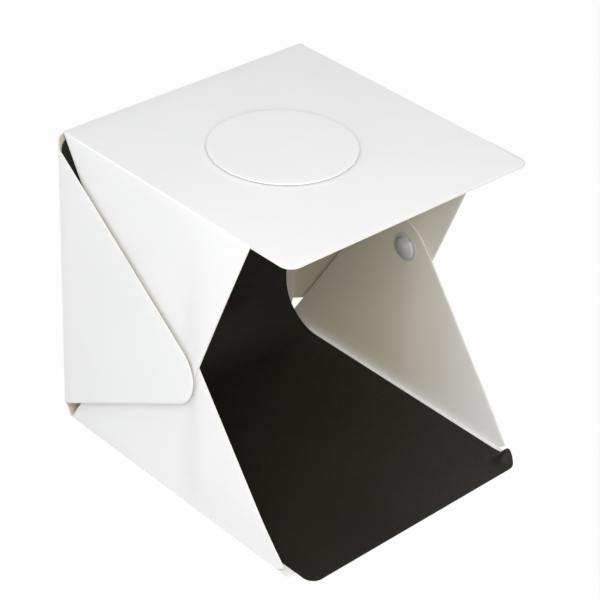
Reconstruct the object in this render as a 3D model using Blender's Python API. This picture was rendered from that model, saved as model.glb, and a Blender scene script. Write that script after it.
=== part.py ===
"""Fold-flat light tent cube of translucent plastic sheet.

Metres, +Z up. The open front faces -Y, X runs to the right, and the origin is at the middle
of the footprint. Depths are measured forward from the outer face of the back panel.
"""
from math import asin, atan2, cos, hypot, pi, radians, sin, sqrt

import bmesh
import bpy
from mathutils import Matrix, Vector

# Sheet and clearances
SHEET = 0.0008
CREASE_GAP = 0.0003
LAYER_GAP = 0.0003
BOND_GAP = 0.0002
CUT_OVERRUN = 0.002
MERGE_DISTANCE = 0.000001

# Panels
BASE_WIDTH = 0.2238
BASE_DEPTH = 0.2475
HEIGHT = 0.2470
TOP_DEPTH = 0.2385
TOP_LIP = 0.0386
TOP_CORNER_RADIUS = 0.0095
BASE_LIP = 0.0095
BASE_CORNER_RADIUS = 0.0015
FLAP_REAR_GAP = 0.0020

# Magnet catch on each side, where the three flaps' round tips meet
CATCH_DEPTH = 0.1273
CATCH_HEIGHT = 0.1262
CATCH_SPACE = 0.0032

# Lower flap: hinge on the bottom panel, tip just behind and below the catch
LOWER_FOOT_LEAN = 0.0060
LOWER_FOOT_RISE = 0.0050
LOWER_TIP_SETBACK = 0.0107
LOWER_TIP_DROP = 0.0084
LOWER_TIP_RADIUS = 0.0340

# Upper flap: hinge on the top panel, tip just behind and below the catch
UPPER_TIP_SETBACK = 0.0110
UPPER_TIP_DROP = 0.0139
UPPER_TIP_RADIUS = 0.0290

# Back flap: upright hinge on the back panel, tip just behind and below the catch
BACK_HINGE_BOTTOM = 0.0148
BACK_HINGE_TOP_DROP = 0.0130
BACK_TIP_SETBACK = 0.0042
BACK_TIP_DROP = 0.0144
BACK_TIP_RADIUS = 0.0264

# Magnet, cap, keeper and cup of the catch
MAGNET_RADIUS = 0.0070
MAGNET_THICKNESS = 0.0022
MAGNET_FIT = 0.0003
CAP_WALL = 0.0012
CAP_DRAFT = 0.0006
CAP_CROWN = 0.0021
CAP_FLANGE = 0.0023
CAP_FLANGE_THICKNESS = 0.0008
CUP_WALL = 0.0009
KEEPER_THICKNESS = 0.0012

# Backdrop
BACKDROP_SHEET = 0.0006
BACKDROP_SIDE_INSET = 0.0057
BACKDROP_OVERHANG = 0.0147
BACKDROP_SWEEP_RADIUS = 0.0380
BACKDROP_TOP_DROP = 0.0080
BACKDROP_CORNER_RADIUS = 0.0095

# Press studs that hang the backdrop
STUD_SIDE_INSET = 0.0240
STUD_TOP_INSET = 0.0110
STUD_POST_RADIUS = 0.0018
STUD_CAP_RADIUS = 0.0060
STUD_CAP_THICKNESS = 0.0014
STUD_SOCKET_RADIUS = 0.0055
STUD_SOCKET_THICKNESS = 0.0020
STUD_FIT = 0.0003

# Window in the top panel and its cover, which sit a little to the left in the photo
WINDOW_DEPTH = 0.1156
WINDOW_SHIFT = -0.0085
WINDOW_RADIUS = 0.0400
COVER_RADIUS = 0.0535
COVER_SHEET = 0.0010
COIN_THICKNESS = 0.0004
COIN_EDGE_MARGIN = 0.0015

# Light strip under the top panel's lip
STRIP_LIP_INSET = 0.0160
STRIP_SIDE_INSET = 0.0080
STRIP_WIDTH = 0.0100
STRIP_BOARD_THICKNESS = 0.0010
STRIP_TAPE_THICKNESS = 0.0006
STRIP_TAPE_MARGIN = 0.0005
STRIP_END_MARGIN = 0.0050
CHIP_LENGTH = 0.0035
CHIP_WIDTH = 0.0028
CHIP_THICKNESS = 0.0008
CHIP_LENS_INSET = 0.0004
CHIP_RIM_DEPTH = 0.0002
INLET_LENGTH = 0.0056
INLET_WIDTH = 0.0076
INLET_HEIGHT = 0.0027
INLET_WALL = 0.0004
INLET_BACK_WALL = 0.0010

# Counts and the angle past which a smooth piece keeps a sharp edge
CHIP_COUNT = 16
COIN_COUNT = 4
ARC_STEPS = 14
DOME_STEPS = 7
CORNER_STEPS = 6
SWEEP_STEPS = 12
TURN_STEPS = 32
WINDOW_STEPS = 64
SHARP_ANGLE = radians(35)
SIDES = ((-1, "left"), (1, "right"))
UPRIGHT_TO_Y = Matrix.Rotation(pi / 2, 4, "X")

# Places worked out from the sizes above
BACK_Y = (BASE_DEPTH + BACKDROP_OVERHANG - STUD_SOCKET_THICKNESS - BOND_GAP) / 2
BASE_HALF = BASE_WIDTH / 2
TOP_HALF = BASE_HALF + LAYER_GAP + SHEET
BACK_HALF = TOP_HALF + CATCH_SPACE + SHEET
BASE_TOP = SHEET + CREASE_GAP
LOWER_HINGE_END = BASE_DEPTH - BASE_LIP
UPPER_HINGE_END = TOP_DEPTH - TOP_LIP
TOP_UNDER = HEIGHT - SHEET
WALL_FRONT = BACK_Y - SHEET
BACK_HINGE_TOP = HEIGHT - BACK_HINGE_TOP_DROP
BACKDROP_HALF = BASE_HALF - BACKDROP_SIDE_INSET
BACKDROP_TOP = TOP_UNDER - BACKDROP_TOP_DROP
STUD_X = BACKDROP_HALF - STUD_SIDE_INSET
STUD_Z = BACKDROP_TOP - STUD_TOP_INSET


def from_back(depth):
    """Y of a place that lies this far forward of the back panel's outer face."""
    return BACK_Y - depth


def clear_scene():
    for thing in list(bpy.data.objects):
        bpy.data.objects.remove(thing, do_unlink=True)


def make_material(name, colour, roughness, metallic=0.0):
    material = bpy.data.materials.new(name)
    material.use_nodes = True
    shader = material.node_tree.nodes["Principled BSDF"]
    shader.inputs["Base Color"].default_value = (*colour, 1.0)
    shader.inputs["Roughness"].default_value = roughness
    shader.inputs["Metallic"].default_value = metallic
    material.diffuse_color = (*colour, 1.0)
    return material


def make_pivot(name, place, parent=None):
    """Empty that stands on a joint's axis and carries the pieces that turn about it."""
    pivot = bpy.data.objects.new(name, None)
    bpy.context.scene.collection.objects.link(pivot)
    place = Vector(place)
    if parent is not None:
        pivot.parent = parent
        place = place - world_place(parent)
    pivot.location = place
    return pivot


def world_place(thing):
    place = Vector(thing.location)
    while thing.parent is not None:
        thing = thing.parent
        place = place + thing.location
    return place


def put(name, mesh_data, material, pivot, place=(0, 0, 0), turn=None):
    """Object of this mesh at a world place, carried by a pivot."""
    mesh = bpy.data.meshes.new(name)
    if turn is not None:
        bmesh.ops.transform(mesh_data, matrix=turn, verts=mesh_data.verts)
    bmesh.ops.recalc_face_normals(mesh_data, faces=mesh_data.faces)
    mesh_data.to_mesh(mesh)
    mesh_data.free()
    thing = bpy.data.objects.new(name, mesh)
    bpy.context.scene.collection.objects.link(thing)
    thing.parent = pivot
    thing.location = Vector(place) - world_place(pivot)
    mesh.materials.append(material)
    return thing


def smooth(thing):
    thing.data.shade_smooth()
    thing.data.set_sharp_from_angle(angle=SHARP_ANGLE)


def arc(centre, radius, start, end, steps):
    """Points on an arc from one angle to another, both ends included."""
    turn = (end - start) / steps
    return [
        (centre[0] + radius * cos(start + turn * step), centre[1] + radius * sin(start + turn * step))
        for step in range(steps + 1)
    ]


def plate(outline, normal, thickness):
    """Flat plate: an outline pushed along X, Y or Z by the sheet's thickness."""
    places = {
        "X": lambda u, v: (0, u, v),
        "Y": lambda u, v: (u, 0, v),
        "Z": lambda u, v: (u, v, 0),
    }
    push = {"X": (thickness, 0, 0), "Y": (0, thickness, 0), "Z": (0, 0, thickness)}
    body = bmesh.new()
    face = body.faces.new([body.verts.new(places[normal](u, v)) for u, v in outline])
    grown = bmesh.ops.extrude_face_region(body, geom=[face])
    moved = [part for part in grown["geom"] if isinstance(part, bmesh.types.BMVert)]
    bmesh.ops.translate(body, vec=push[normal], verts=moved)
    return body


def turned(profile):
    """Solid of revolution about Z from (radius, height) points; both ends lie on the axis."""
    body = bmesh.new()
    verts = [body.verts.new((radius, 0, height)) for radius, height in profile]
    edges = [body.edges.new(pair) for pair in zip(verts, verts[1:])]
    bmesh.ops.spin(
        body,
        geom=verts + edges,
        cent=(0, 0, 0),
        axis=(0, 0, 1),
        angle=2 * pi,
        steps=TURN_STEPS,
        use_merge=True,
    )
    bmesh.ops.remove_doubles(body, verts=body.verts, dist=MERGE_DISTANCE)
    return body


def block(size):
    """Box centred on its origin."""
    body = bmesh.new()
    bmesh.ops.create_cube(body, size=1)
    bmesh.ops.scale(body, vec=size, verts=body.verts)
    return body


def cylinder(radius, height, steps=TURN_STEPS):
    body = bmesh.new()
    bmesh.ops.create_cone(
        body, cap_ends=True, segments=steps, radius1=radius, radius2=radius, depth=height
    )
    return body


def cut(thing, cutter):
    """Take the cutter's shape out of a piece."""
    cutter.hide_render = True
    cutter.display_type = "WIRE"
    change = thing.modifiers.new("cut_" + cutter.name, "BOOLEAN")
    change.operation = "DIFFERENCE"
    change.solver = "EXACT"
    change.object = cutter


def mirrored_outline(right_half):
    """Whole outline from the points of its right half, listed from one end to the other."""
    return right_half + [(-u, v) for u, v in reversed(right_half)]


def tangent_point(point, centre, radius, side):
    """Where a straight edge from a point touches the tip's circle, on side +1 or -1."""
    reach = hypot(centre[0] - point[0], centre[1] - point[1])
    heading = atan2(centre[1] - point[1], centre[0] - point[0]) + side * asin(radius / reach)
    run = sqrt(reach**2 - radius**2)
    return point[0] + run * cos(heading), point[1] + run * sin(heading)


def flap_outline(hinge, foot, tip, radius):
    """Flap outline in (along the hinge, away from it): hinge edge, two straight edges, round tip.

    hinge holds its two ends along the fold, and foot is the point where the far straight edge
    starts, beyond the hinge's far end.
    """
    near = (hinge[0], 0)
    far = (hinge[1], 0)
    rise = tangent_point(foot, tip, radius, -1)
    fall = tangent_point(near, tip, radius, 1)
    start = atan2(rise[1] - tip[1], rise[0] - tip[0])
    end = atan2(fall[1] - tip[1], fall[0] - tip[0])
    if end < start:
        end += 2 * pi
    outline = [near, far]
    if foot != far:
        outline.append(foot)
    return outline + arc(tip, radius, start, end, ARC_STEPS)


def base_outline():
    front = from_back(BASE_DEPTH)
    corner = (BASE_HALF - BASE_CORNER_RADIUS, front + BASE_CORNER_RADIUS)
    right = [(BASE_HALF, BACK_Y)]
    right += arc(corner, BASE_CORNER_RADIUS, 0, -pi / 2, CORNER_STEPS)
    return mirrored_outline(right)


def back_outline():
    radius = BACK_HALF - TOP_HALF
    corner = (TOP_HALF, TOP_UNDER - CREASE_GAP - radius)
    right = [(BASE_HALF, BASE_TOP), (BACK_HALF, BACK_HINGE_BOTTOM)]
    right += arc(corner, radius, 0, pi / 2, CORNER_STEPS)
    return mirrored_outline(right)


def top_outline():
    front = from_back(TOP_DEPTH)
    corner = (TOP_HALF - TOP_CORNER_RADIUS, front + TOP_CORNER_RADIUS)
    right = [(TOP_HALF, BACK_Y)]
    right += arc(corner, TOP_CORNER_RADIUS, 0, -pi / 2, CORNER_STEPS)
    return mirrored_outline(right)


def make_panels(sheet, pivots):
    put("bottom_panel", plate(base_outline(), "Z", SHEET), sheet, pivots["base"])
    upright = plate(back_outline(), "Y", SHEET)
    back = put("back_panel", upright, sheet, pivots["back"], (0, WALL_FRONT, 0))
    deck = plate(top_outline(), "Z", SHEET)
    top = put("top_panel", deck, sheet, pivots["top"], (0, 0, TOP_UNDER))
    window = cylinder(WINDOW_RADIUS, SHEET + 2 * CUT_OVERRUN, WINDOW_STEPS)
    place = (WINDOW_SHIFT, from_back(WINDOW_DEPTH), TOP_UNDER + SHEET / 2)
    cut(top, put("window_cutter", window, sheet, pivots["top"], place))
    for side, name in SIDES:
        hole = cylinder(STUD_POST_RADIUS + STUD_FIT, SHEET + 2 * CUT_OVERRUN)
        place = (side * STUD_X, WALL_FRONT + SHEET / 2, STUD_Z)
        cut(back, put(name + "_panel_hole_cutter", hole, sheet, pivots["back"], place, UPRIGHT_TO_Y))


def make_lower_flap(side, name, sheet, pivot):
    foot = (LOWER_HINGE_END + LOWER_FOOT_LEAN, LOWER_FOOT_RISE)
    outline = flap_outline(
        (FLAP_REAR_GAP, LOWER_HINGE_END),
        foot,
        (CATCH_DEPTH - LOWER_TIP_SETBACK, CATCH_HEIGHT - LOWER_TIP_DROP - BASE_TOP),
        LOWER_TIP_RADIUS,
    )
    outline = [(-along, out) for along, out in outline]
    place = (side * BASE_HALF, BACK_Y, BASE_TOP)
    put(name + "_lower_flap", plate(outline, "X", -side * SHEET), sheet, pivot, place)


def make_upper_flap(side, name, sheet, pivot):
    hinge_z = TOP_UNDER - CREASE_GAP
    outline = flap_outline(
        (FLAP_REAR_GAP, UPPER_HINGE_END),
        (UPPER_HINGE_END, 0),
        (CATCH_DEPTH - UPPER_TIP_SETBACK, hinge_z - CATCH_HEIGHT + UPPER_TIP_DROP),
        UPPER_TIP_RADIUS,
    )
    outline = [(-along, -out) for along, out in outline]
    place = (side * TOP_HALF, BACK_Y, hinge_z)
    put(name + "_upper_flap", plate(outline, "X", -side * SHEET), sheet, pivot, place)


def make_back_flap(side, name, sheet, pivot):
    hinge_depth = SHEET + CREASE_GAP
    outline = flap_outline(
        (BACK_HINGE_BOTTOM, BACK_HINGE_TOP),
        (BACK_HINGE_TOP, 0),
        (CATCH_HEIGHT - BACK_TIP_DROP, CATCH_DEPTH - BACK_TIP_SETBACK - hinge_depth),
        BACK_TIP_RADIUS,
    )
    outline = [(-out, along) for along, out in outline]
    place = (side * BACK_HALF, from_back(hinge_depth), 0)
    put(name + "_back_flap", plate(outline, "X", -side * SHEET), sheet, pivot, place)


def facing(side):
    """Turn that points a piece built along +Z inward from a side wall."""
    return Matrix.Rotation(-side * pi / 2, 4, "Y")


def make_magnet_cap(side, name, looks, pivot):
    """Domed cap glued to the lower flap's inner face, with the magnet inside it."""
    room_radius = MAGNET_RADIUS + MAGNET_FIT
    room_height = MAGNET_THICKNESS + MAGNET_FIT
    shoulder_radius = room_radius + CAP_WALL
    foot_radius = shoulder_radius + CAP_DRAFT
    flange_radius = foot_radius + CAP_FLANGE
    crown = room_height + CAP_CROWN
    crown_radius = (shoulder_radius**2 + CAP_CROWN**2) / (2 * CAP_CROWN)
    shoulder_angle = asin(shoulder_radius / crown_radius)
    dome = arc((0, crown - crown_radius), crown_radius, pi / 2 - shoulder_angle, pi / 2, DOME_STEPS)
    profile = [(0, room_height), (room_radius, room_height), (room_radius, 0), (flange_radius, 0)]
    profile += [(flange_radius, CAP_FLANGE_THICKNESS), (foot_radius, CAP_FLANGE_THICKNESS)]
    profile += dome[:-1] + [(0, crown)]
    face_x = side * (BASE_HALF - SHEET - BOND_GAP)
    place = (face_x, from_back(CATCH_DEPTH), CATCH_HEIGHT)
    smooth(put(name + "_magnet_cap", turned(profile), looks["cap"], pivot, place, facing(side)))
    magnet = cylinder(MAGNET_RADIUS, MAGNET_THICKNESS)
    place = (face_x - side * MAGNET_THICKNESS / 2, from_back(CATCH_DEPTH), CATCH_HEIGHT)
    smooth(put(name + "_magnet", magnet, looks["steel"], pivot, place, facing(side)))


def make_keeper(side, name, looks, pivot):
    """Round cup over a steel disc on the back flap's inner face; its mouth lies against the flap."""
    depth = CATCH_SPACE - LAYER_GAP - BOND_GAP
    room_radius = MAGNET_RADIUS + MAGNET_FIT
    room_depth = KEEPER_THICKNESS + MAGNET_FIT
    outer = room_radius + CUP_WALL
    profile = [(0, room_depth), (room_radius, room_depth), (room_radius, 0), (outer, 0)]
    profile += [(outer, depth), (0, depth)]
    face_x = side * (BACK_HALF - SHEET - BOND_GAP)
    place = (face_x, from_back(CATCH_DEPTH), CATCH_HEIGHT)
    smooth(put(name + "_keeper_cup", turned(profile), looks["cap"], pivot, place, facing(side)))
    disc = cylinder(MAGNET_RADIUS, KEEPER_THICKNESS)
    place = (face_x - side * KEEPER_THICKNESS / 2, from_back(CATCH_DEPTH), CATCH_HEIGHT)
    smooth(put(name + "_keeper_disc", disc, looks["steel"], pivot, place, facing(side)))


def backdrop_stations():
    """Places along the backdrop from its front edge to its top: (y, z, tilt, run so far)."""
    rest = BASE_TOP
    front = from_back(BASE_DEPTH + BACKDROP_OVERHANG)
    wall = WALL_FRONT - CREASE_GAP - BACKDROP_SHEET
    radius = BACKDROP_SWEEP_RADIUS
    sweep_start = wall + BACKDROP_SHEET - radius
    floor_run = sweep_start - front
    sweep_run = radius * pi / 2
    rise_run = BACKDROP_TOP - (rest + radius)
    length = floor_run + sweep_run + rise_run
    corner = BACKDROP_CORNER_RADIUS
    turns = [corner * (1 - cos(pi / 2 * step / CORNER_STEPS)) for step in range(CORNER_STEPS + 1)]
    runs = turns + [floor_run]
    runs += [floor_run + sweep_run * step / SWEEP_STEPS for step in range(1, SWEEP_STEPS + 1)]
    runs += [length - turn for turn in reversed(turns)]
    stations = []
    for run in runs:
        if run <= floor_run:
            stations.append((front + run, rest, 0, run, length))
        elif run <= floor_run + sweep_run:
            tilt = (run - floor_run) / radius
            y = sweep_start + radius * sin(tilt)
            z = rest + radius * (1 - cos(tilt))
            stations.append((y, z, tilt, run, length))
        else:
            z = rest + radius + run - floor_run - sweep_run
            stations.append((sweep_start + radius, z, pi / 2, run, length))
    return stations


def backdrop_half_width(run, length):
    """Half width of the backdrop at a run, narrowed on the round corners at both ends."""
    corner = BACKDROP_CORNER_RADIUS
    edge = min(run, length - run)
    if edge >= corner:
        return BACKDROP_HALF
    return BACKDROP_HALF - corner + sqrt(corner**2 - (corner - edge) ** 2)


def make_backdrop(material, pivot):
    body = bmesh.new()
    rings = []
    for y, z, tilt, run, length in backdrop_stations():
        half = backdrop_half_width(run, length)
        lift = Vector((0, -sin(tilt), cos(tilt))) * BACKDROP_SHEET
        under = Vector((0, y, z))
        side = Vector((half, 0, 0))
        corners = (under - side, under + side, under + side + lift, under - side + lift)
        rings.append([body.verts.new(corner) for corner in corners])
    for low, high in zip(rings, rings[1:]):
        for index in range(4):
            after = (index + 1) % 4
            body.faces.new((low[index], low[after], high[after], high[index]))
    body.faces.new(rings[0])
    body.faces.new(rings[-1])
    thing = put("backdrop_sheet", body, material, pivot)
    for side, name in SIDES:
        hole = cylinder(STUD_POST_RADIUS + STUD_FIT, BACKDROP_SHEET + 2 * CUT_OVERRUN)
        place = (side * STUD_X, WALL_FRONT - CREASE_GAP - BACKDROP_SHEET / 2, STUD_Z)
        cut(thing, put(name + "_backdrop_hole_cutter", hole, material, pivot, place, UPRIGHT_TO_Y))
    smooth(thing)


def make_stud(side, name, looks, pivot):
    """Press stud: a cap with its post in front of the backdrop, and a socket behind the panel."""
    front = WALL_FRONT - CREASE_GAP - BACKDROP_SHEET - BOND_GAP
    rear = BACK_Y + BOND_GAP
    post_end = rear + STUD_SOCKET_THICKNESS / 2 - front
    edge = STUD_CAP_THICKNESS / 2
    profile = [(0, -post_end), (STUD_POST_RADIUS, -post_end), (STUD_POST_RADIUS, 0)]
    profile += [(STUD_CAP_RADIUS, 0), (STUD_CAP_RADIUS, edge)]
    profile += [(STUD_CAP_RADIUS - edge, STUD_CAP_THICKNESS), (0, STUD_CAP_THICKNESS)]
    place = (side * STUD_X, front, STUD_Z)
    smooth(put(name + "_stud_cap", turned(profile), looks["stud"], pivot, place, UPRIGHT_TO_Y))
    room = STUD_POST_RADIUS + STUD_FIT
    room_end = STUD_SOCKET_THICKNESS / 2 + STUD_FIT
    socket = [(0, room_end), (room, room_end), (room, 0), (STUD_SOCKET_RADIUS, 0)]
    socket += [(STUD_SOCKET_RADIUS, STUD_SOCKET_THICKNESS / 2)]
    socket += [(STUD_SOCKET_RADIUS - STUD_SOCKET_THICKNESS / 2, STUD_SOCKET_THICKNESS)]
    socket += [(0, STUD_SOCKET_THICKNESS)]
    place = (side * STUD_X, rear, STUD_Z)
    turn = Matrix.Rotation(-pi / 2, 4, "X")
    smooth(put(name + "_stud_socket", turned(socket), looks["stud"], pivot, place, turn))


def make_cover(looks, top, cover):
    """Round cover over the window, held by pairs of hook and loop coins."""
    middle_y = from_back(WINDOW_DEPTH)
    loop_z = HEIGHT + BOND_GAP
    hook_z = loop_z + COIN_THICKNESS + BOND_GAP
    cover_z = hook_z + COIN_THICKNESS + BOND_GAP
    disc = cylinder(COVER_RADIUS, COVER_SHEET, WINDOW_STEPS)
    place = (WINDOW_SHIFT, middle_y, cover_z + COVER_SHEET / 2)
    smooth(put("window_cover", disc, looks["sheet"], cover, place))
    coin_radius = (COVER_RADIUS - WINDOW_RADIUS) / 2 - COIN_EDGE_MARGIN
    coin_ring = (COVER_RADIUS + WINDOW_RADIUS) / 2
    for index in range(COIN_COUNT):
        angle = 2 * pi * (index + 1 / 2) / COIN_COUNT
        x = WINDOW_SHIFT + coin_ring * cos(angle)
        y = middle_y + coin_ring * sin(angle)
        loop = cylinder(coin_radius, COIN_THICKNESS)
        place = (x, y, loop_z + COIN_THICKNESS / 2)
        smooth(put("loop_coin_" + str(index + 1), loop, looks["coin"], top, place))
        hook = cylinder(coin_radius, COIN_THICKNESS)
        place = (x, y, hook_z + COIN_THICKNESS / 2)
        smooth(put("hook_coin_" + str(index + 1), hook, looks["coin"], cover, place))


def make_chip(name, place, looks, pivot):
    """Light chip: a small block with its lens face set in a rim."""
    body = block((CHIP_LENGTH, CHIP_WIDTH, CHIP_THICKNESS))
    lens = [face for face in body.faces if face.normal.z < -1 / 2]
    bmesh.ops.inset_region(body, faces=lens, thickness=CHIP_LENS_INSET, depth=-CHIP_RIM_DEPTH)
    put(name, body, looks["chip"], pivot, place)


def make_strip(looks, pivot):
    """Light strip: tape, board, a row of chips and the inlet socket at the right end."""
    y = from_back(TOP_DEPTH - STRIP_LIP_INSET)
    half = BASE_HALF - STRIP_SIDE_INSET
    tape_z = TOP_UNDER - BOND_GAP - STRIP_TAPE_THICKNESS / 2
    tape_length = 2 * (half - STRIP_TAPE_MARGIN)
    tape_width = STRIP_WIDTH - 2 * STRIP_TAPE_MARGIN
    tape = block((tape_length, tape_width, STRIP_TAPE_THICKNESS))
    put("strip_tape", tape, looks["tape"], pivot, (0, y, tape_z))
    board_top = TOP_UNDER - 2 * BOND_GAP - STRIP_TAPE_THICKNESS
    board_z = board_top - STRIP_BOARD_THICKNESS / 2
    board = block((2 * half, STRIP_WIDTH, STRIP_BOARD_THICKNESS))
    put("strip_board", board, looks["board"], pivot, (0, y, board_z))
    under = board_top - STRIP_BOARD_THICKNESS - BOND_GAP
    row_start = -half + STRIP_END_MARGIN
    row_end = half - INLET_LENGTH - STRIP_END_MARGIN
    pitch = (row_end - row_start) / (CHIP_COUNT - 1)
    for index in range(CHIP_COUNT):
        place = (row_start + pitch * index, y, under - CHIP_THICKNESS / 2)
        make_chip("light_chip_" + str(index + 1).zfill(2), place, looks, pivot)
    place = (half - INLET_LENGTH / 2, y, under - INLET_HEIGHT / 2)
    shell = block((INLET_LENGTH, INLET_WIDTH, INLET_HEIGHT))
    inlet = put("inlet_socket", shell, looks["steel"], pivot, place)
    room = (INLET_LENGTH, INLET_WIDTH - 2 * INLET_WALL, INLET_HEIGHT - 2 * INLET_WALL)
    place = (half - INLET_LENGTH / 2 + INLET_BACK_WALL, y, under - INLET_HEIGHT / 2)
    cut(inlet, put("inlet_cutter", block(room), looks["steel"], pivot, place))


def make_looks():
    return {
        "sheet": make_material("white_sheet", (0.86, 0.86, 0.85), 0.42),
        "backdrop": make_material("black_sheet", (0.030, 0.027, 0.023), 0.55),
        "cap": make_material("clear_grey_plastic", (0.52, 0.54, 0.56), 0.30),
        "steel": make_material("nickel_steel", (0.62, 0.62, 0.60), 0.30, 1.0),
        "stud": make_material("white_plastic", (0.80, 0.80, 0.78), 0.35),
        "coin": make_material("white_felt", (0.82, 0.82, 0.80), 0.90),
        "tape": make_material("foam_tape", (0.78, 0.78, 0.76), 0.80),
        "board": make_material("white_board", (0.80, 0.82, 0.80), 0.40),
        "chip": make_material("yellow_phosphor", (0.85, 0.72, 0.22), 0.35),
    }


def make_pivots():
    """One pivot for each moving group, on the crease or path that it moves about."""
    pivots = {"base": make_pivot("base_pivot", (0, 0, 0))}
    pivots["back"] = make_pivot("back_pivot", (0, BACK_Y, 0), pivots["base"])
    pivots["top"] = make_pivot("top_pivot", (0, BACK_Y, HEIGHT), pivots["back"])
    window = (WINDOW_SHIFT, from_back(WINDOW_DEPTH), HEIGHT)
    pivots["cover"] = make_pivot("cover_pivot", window, pivots["top"])
    for side, name in SIDES:
        lower = (side * BASE_HALF, BACK_Y, 0)
        upper = (side * TOP_HALF, BACK_Y, HEIGHT)
        back = (side * BACK_HALF, BACK_Y, 0)
        pivots[name + "_lower"] = make_pivot(name + "_lower_pivot", lower, pivots["base"])
        pivots[name + "_upper"] = make_pivot(name + "_upper_pivot", upper, pivots["top"])
        pivots[name + "_back"] = make_pivot(name + "_back_pivot", back, pivots["back"])
    return pivots


def main():
    clear_scene()
    looks = make_looks()
    pivots = make_pivots()
    make_panels(looks["sheet"], pivots)
    for side, name in SIDES:
        make_lower_flap(side, name, looks["sheet"], pivots[name + "_lower"])
        make_upper_flap(side, name, looks["sheet"], pivots[name + "_upper"])
        make_back_flap(side, name, looks["sheet"], pivots[name + "_back"])
        make_magnet_cap(side, name, looks, pivots[name + "_lower"])
        make_keeper(side, name, looks, pivots[name + "_back"])
        make_stud(side, name, looks, pivots["back"])
    make_backdrop(looks["backdrop"], pivots["base"])
    make_cover(looks, pivots["top"], pivots["cover"])
    make_strip(looks, pivots["top"])


main()
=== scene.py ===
"""Looks of the fold-flat light tent: folded translucent sheet, black sweep, caps, cover and strip.

Metres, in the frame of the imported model. The open front faces -Y and the tent stands on z = 0.
"""

from math import cos, hypot, pi, radians, sin, sqrt

import bmesh
import bpy
from mathutils import Matrix, Vector


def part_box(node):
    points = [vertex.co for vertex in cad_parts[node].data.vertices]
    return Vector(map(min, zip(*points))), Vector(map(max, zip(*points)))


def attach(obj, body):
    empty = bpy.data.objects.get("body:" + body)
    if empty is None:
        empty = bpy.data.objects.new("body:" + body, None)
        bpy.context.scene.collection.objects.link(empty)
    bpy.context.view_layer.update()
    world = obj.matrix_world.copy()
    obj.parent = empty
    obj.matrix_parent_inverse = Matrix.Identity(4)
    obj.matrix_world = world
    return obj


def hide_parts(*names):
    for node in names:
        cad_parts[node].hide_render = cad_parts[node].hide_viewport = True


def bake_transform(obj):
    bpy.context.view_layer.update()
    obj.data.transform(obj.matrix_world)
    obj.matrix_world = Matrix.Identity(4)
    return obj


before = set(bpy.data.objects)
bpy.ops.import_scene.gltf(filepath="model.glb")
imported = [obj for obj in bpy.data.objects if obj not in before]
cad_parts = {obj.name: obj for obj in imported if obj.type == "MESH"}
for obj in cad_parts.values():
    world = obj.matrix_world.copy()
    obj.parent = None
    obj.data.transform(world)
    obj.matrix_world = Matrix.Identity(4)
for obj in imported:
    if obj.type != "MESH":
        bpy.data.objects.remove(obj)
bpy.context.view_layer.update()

# Camera, fitted to the corners of the tent in the photograph
CAMERA_AZIMUTH = radians(-43.6247)
CAMERA_ELEVATION = radians(32.8475)
CAMERA_ROLL = radians(2.4879)
CAMERA_DISTANCE = 1.6251
CAMERA_TARGET = Vector((0.0169, 0.0170, 0.1096))
CAMERA_FOCAL_PIXELS = 2200.08
CAMERA_CLIP = (0.05, 20.0)
PICTURE_PIXELS = 600
SENSOR_MM = 36

# Sheet: gauge, folds and cut edges
SHEET = 0.0008
FOLD_OUTER = 0.0011
FOLD_STEPS = 5
LOWER_FOLD_END = 0.2380
UPPER_FOLD_END = 0.1999
BACK_FOLD_END = 0.2340
EDGE_ROUND = 0.00022
EDGE_BAND = 0.0032
EDGE_TONE_START = 0.6
EDGE_TONE_FULL = 0.95
INSET_LIMIT_SHARE = 0.85
SHEET_TRANSLUCENCY = 0.16

# Painted shade on the sheet's inner side: 0 looks like the outer side, 1 is a warm painted shade,
# 2 a deep painted shade. It grows from the front to the back and lessens towards the foot.
FOLDED_SHADE = 1.0
BACK_SHADE = 2.0
SHADE_AT_FRONT = 0.1
SHADE_START = -0.110
SHADE_RUN = 0.150
SHADE_AT_FOOT = 0.25
SHADE_FOOT_HEIGHT = 0.014

# Meshes: how finely they are cut and what counts as flat, parallel or the same place
WELD = 0.000002
FLAT_STEP = 0.00002
FLAT_ANGLE = radians(1)
FACING_LIMIT = 0.99
PARALLEL_LIMIT = 0.001
SHARP_ANGLE = radians(40)
GRID = 0.009
TURN_STEPS = 64
CORNER_STEPS = 10
EASE_STEPS = 4
EASE_LIMIT_SHARE = 0.45

# Backdrop: its floor lies askew, its wall hangs to the left and its right front corner curls up
BACKDROP_SHEET = 0.0006
BOND_GAP = 0.0002
SWEEP_RADIUS = 0.0380
SWEEP_STEPS = 40
BACKDROP_CORNER = 0.0095
SKEW_SIDE = 0.0013
SKEW_FRONT = 0.0014
SKEW_TURN = 0.0150
WALL_SLANT = 0.0090
WALL_RAISE = 0.0040
CURL_Y = -0.1215
CURL_HALF = 0.0095
CURL_HEIGHT = 0.0080
CURL_START = 0.0915
CURL_WIDTH = 0.0160
CURL_STEP = 0.0016

# Magnet catches
MAGNET_FIT = 0.0003
CAP_FLANGE = 0.0023
CAP_FLANGE_THICKNESS = 0.0008
CAP_DRAFT = 0.0006
CAP_EASE = 0.0007
DOME_STEPS = 10
DISC_EASE = 0.0003
CUP_EASE = 0.0004

# Press studs
STUD_POST_RADIUS = 0.0018
STUD_FIT = 0.0003
STUD_HOLE_RADIUS = 0.0021
STUD_RING_SHARE = 0.62
STUD_DISH_SHARE = 0.50
STUD_DISH = 0.0004
STUD_EASE = 0.0003
HOLE_STEPS = 24

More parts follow.
